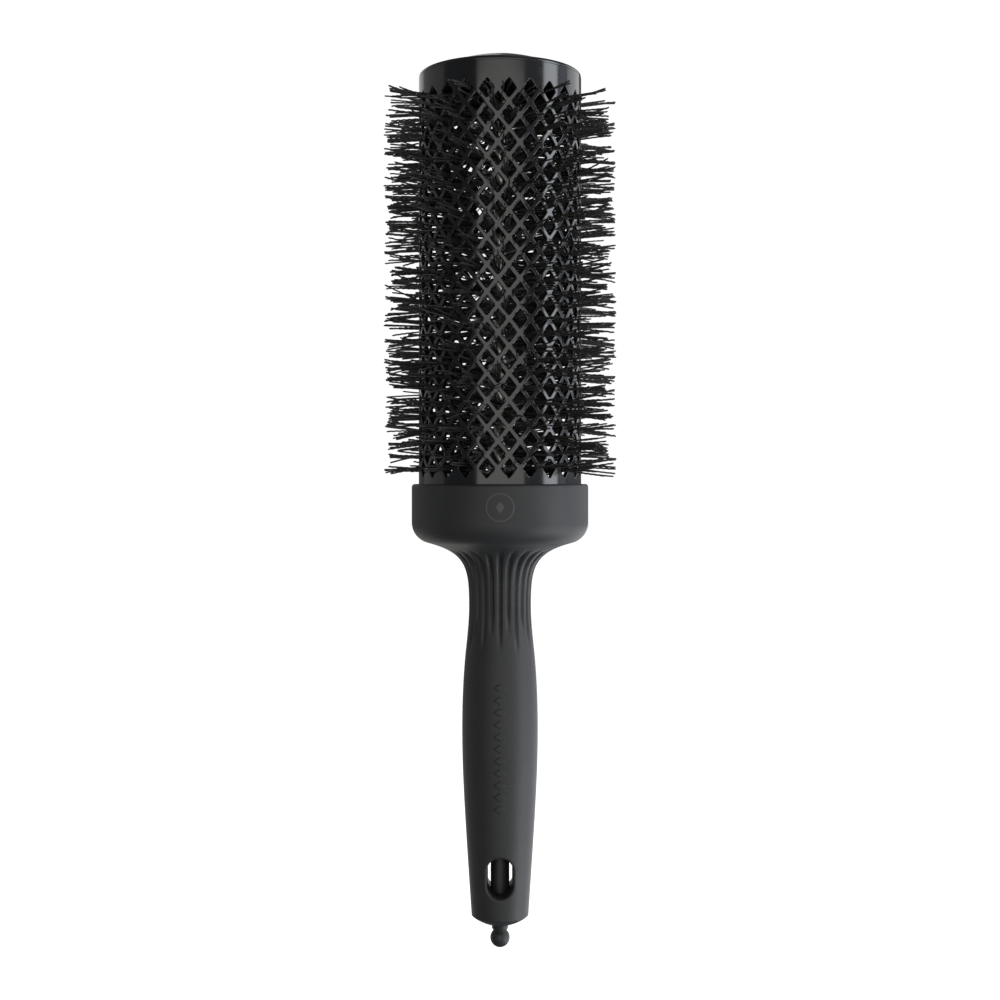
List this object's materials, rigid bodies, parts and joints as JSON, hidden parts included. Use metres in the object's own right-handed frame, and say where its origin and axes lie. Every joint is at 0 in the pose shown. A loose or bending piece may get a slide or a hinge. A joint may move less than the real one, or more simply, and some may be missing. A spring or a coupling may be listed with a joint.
{
  "type": "round barrel brush",
  "caption": "Round hair brush with a vented metal barrel over crimped bristles on a twisted wire core, a soft-skinned ribbed handle and a pull-out sectioning pin with a ball end.",
  "frame": {"origin": "lowest point of the pin's ball end, on the brush's axis", "axes": "+Z along the brush's axis from the handle to the barrel's end cap, -Y towards the front with the mark"},
  "size_m": [0.0646, 0.0646, 0.2467],
  "materials": {
    "barrel_coat": "gloss black coat",
    "cap_plastic": "gloss black",
    "bristle_nylon": "black crimped nylon",
    "steel": "drawn steel",
    "core_plastic": "moulded",
    "soft_skin": "soft-touch matte",
    "mark_plastic": "satin",
    "pin_plastic": "soft-touch matte"
  },
  "bodies": {
    "brush": {"barrel": "barrel_coat", "end_cap": "cap_plastic", "barrel_hub": "cap_plastic", "hub_rivets": "steel", "core_wire_a": "steel", "core_wire_b": "steel", "wire_ferrule": "steel", "handle_core": "core_plastic", "soft_grip": "soft_skin", "collar_mark": "mark_plastic", "bristle_row_01": "bristle_nylon", "bristle_row_02": "bristle_nylon", "bristle_row_03": "bristle_nylon", "bristle_row_04": "bristle_nylon", "bristle_row_05": "bristle_nylon", "bristle_row_06": "bristle_nylon", "bristle_row_07": "bristle_nylon", "bristle_row_08": "bristle_nylon", "bristle_row_09": "bristle_nylon", "bristle_row_10": "bristle_nylon", "bristle_row_11": "bristle_nylon", "bristle_row_12": "bristle_nylon", "bristle_row_13": "bristle_nylon", "bristle_row_14": "bristle_nylon", "bristle_row_15": "bristle_nylon"},
    "pin": {"sectioning_pin": "pin_plastic"}
  },
  "joints": [
    {"name": "pin_slide", "type": "slide", "parent": "brush", "child": "pin", "axis": [0, 0, -1], "range_m": [0, 0.09]}
  ]
}
